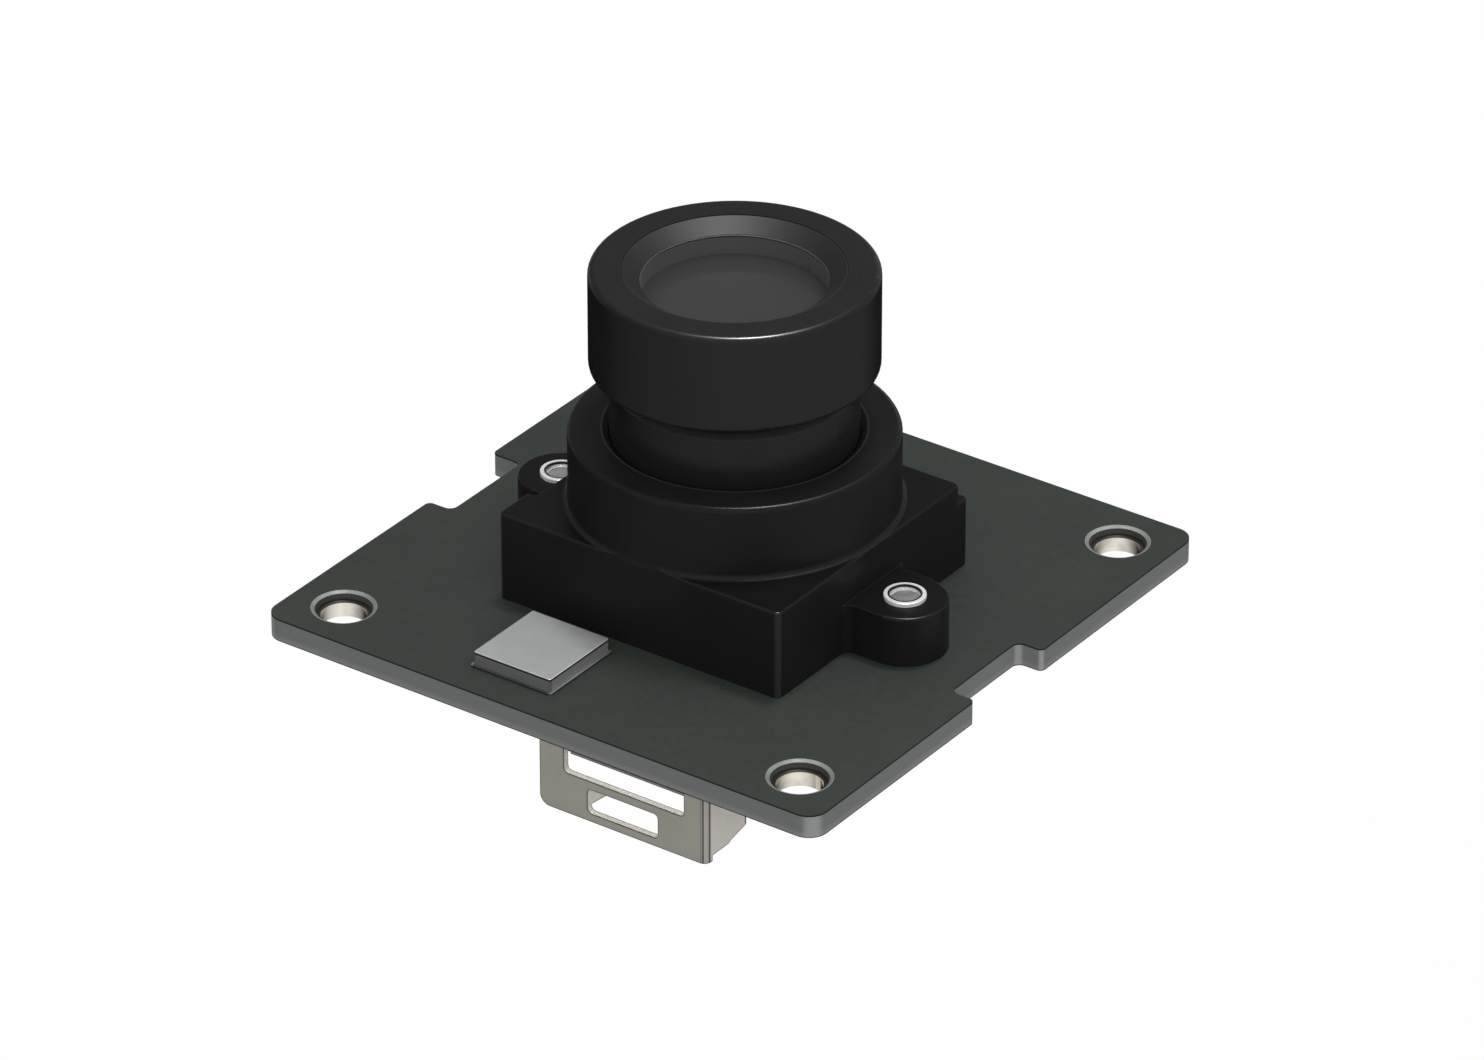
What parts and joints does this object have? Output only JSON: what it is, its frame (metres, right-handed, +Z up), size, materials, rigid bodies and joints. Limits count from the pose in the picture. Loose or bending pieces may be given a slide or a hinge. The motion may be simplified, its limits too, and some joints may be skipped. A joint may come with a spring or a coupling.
{
  "type": "board camera module",
  "caption": "Square board camera with a screw-in focusing lens in a holder with two screwed ears, notched sides, lined corner holes and a slotted folded bracket beneath its front edge.",
  "frame": {"origin": "centre of the board's four fixing holes, on the board's underside", "axes": "+X along the front edge towards the right-hand ear, +Y from the front edge with the bracket to the back edge, +Z up the lens axis towards the lens mouth"},
  "size_m": [0.0323, 0.032, 0.0216],
  "materials": {
    "solder_mask": "dark grey-green solder mask, satin",
    "bushing_metal": "warm nickel, turned",
    "land_tin": "tinned ring, dull",
    "holder_plastic": "black moulded plastic, fine satin",
    "insert_metal": "bright nickel",
    "screw_steel": "bright zinc",
    "barrel_black": "black anodised, satin",
    "bezel_black": "black anodised, polished bevel",
    "front_glass": "dark coated glass",
    "lens_glass": "clear optical glass",
    "spacer_black": "matt black",
    "filter_glass": "pale blue coated glass",
    "sensor_ceramic": "fired ceramic",
    "silicon": "polished silicon",
    "cover_glass": "clear cover glass",
    "lid_metal": "pressed lid, satin",
    "bracket_metal": "bare folded sheet, warm grey",
    "substrate": "package substrate",
    "mould_compound": "black mould compound",
    "lead_tin": "tinned",
    "ferrite": "sintered ferrite",
    "copper": "enamelled copper",
    "capacitor_ceramic": "tan ceramic",
    "resistor_glaze": "black glaze",
    "socket_nylon": "natural nylon"
  },
  "bodies": {
    "board": {"circuit_board": "solder_mask", "hole_bushings": "bushing_metal", "hole_lands": "land_tin", "lens_holder": "holder_plastic", "ear_inserts": "insert_metal", "holder_screws": "screw_steel", "infrared_filter": "filter_glass", "sensor_package": "sensor_ceramic", "sensor_die": "silicon", "sensor_cover": "cover_glass", "clock_base": "lid_metal", "clock_lid": "lid_metal", "quartz_posts": "lead_tin", "quartz_plate": "cover_glass", "slotted_bracket": "bracket_metal", "processor_substrate": "substrate", "processor_mould": "mould_compound", "memory_body": "mould_compound", "memory_leads": "lead_tin", "crystal_base": "sensor_ceramic", "crystal_lid": "lid_metal", "coil_cores": "ferrite", "coil_windings": "copper", "regulator_bodies": "mould_compound", "regulator_leads": "lead_tin", "capacitor_bodies": "capacitor_ceramic", "capacitor_ends": "lead_tin", "resistor_bodies": "resistor_glaze", "resistor_ends": "lead_tin", "socket_housing": "socket_nylon", "socket_contacts": "lead_tin", "socket_anchors": "lead_tin"},
    "lens_lift": {"front_glass": "front_glass", "second_lens": "lens_glass", "third_lens": "lens_glass", "rear_lens": "lens_glass"},
    "lens_turn": {"lens_barrel": "barrel_black", "front_bezel": "bezel_black", "glass_seat_ring": "bezel_black", "upper_spacer": "spacer_black", "aperture_stop": "spacer_black", "middle_spacer": "spacer_black", "lower_spacer": "spacer_black", "rear_retainer": "spacer_black"}
  },
  "joints": [
    {"name": "focus_travel", "type": "slide", "parent": "board", "child": "lens_lift", "axis": [0, 0, 1], "range_m": [-0.0009, 0.002]},
    {"name": "focus_turn", "type": "hinge", "parent": "lens_lift", "child": "lens_turn", "pos_m": [0.00035, -0.00035, 0.012], "axis": [0, 0, 1], "range_deg": [-640, 1430]}
  ],
  "couplings": [
    {"joint": "focus_travel", "follows": "focus_turn", "m_per_rad": 0.000079577}
  ]
}
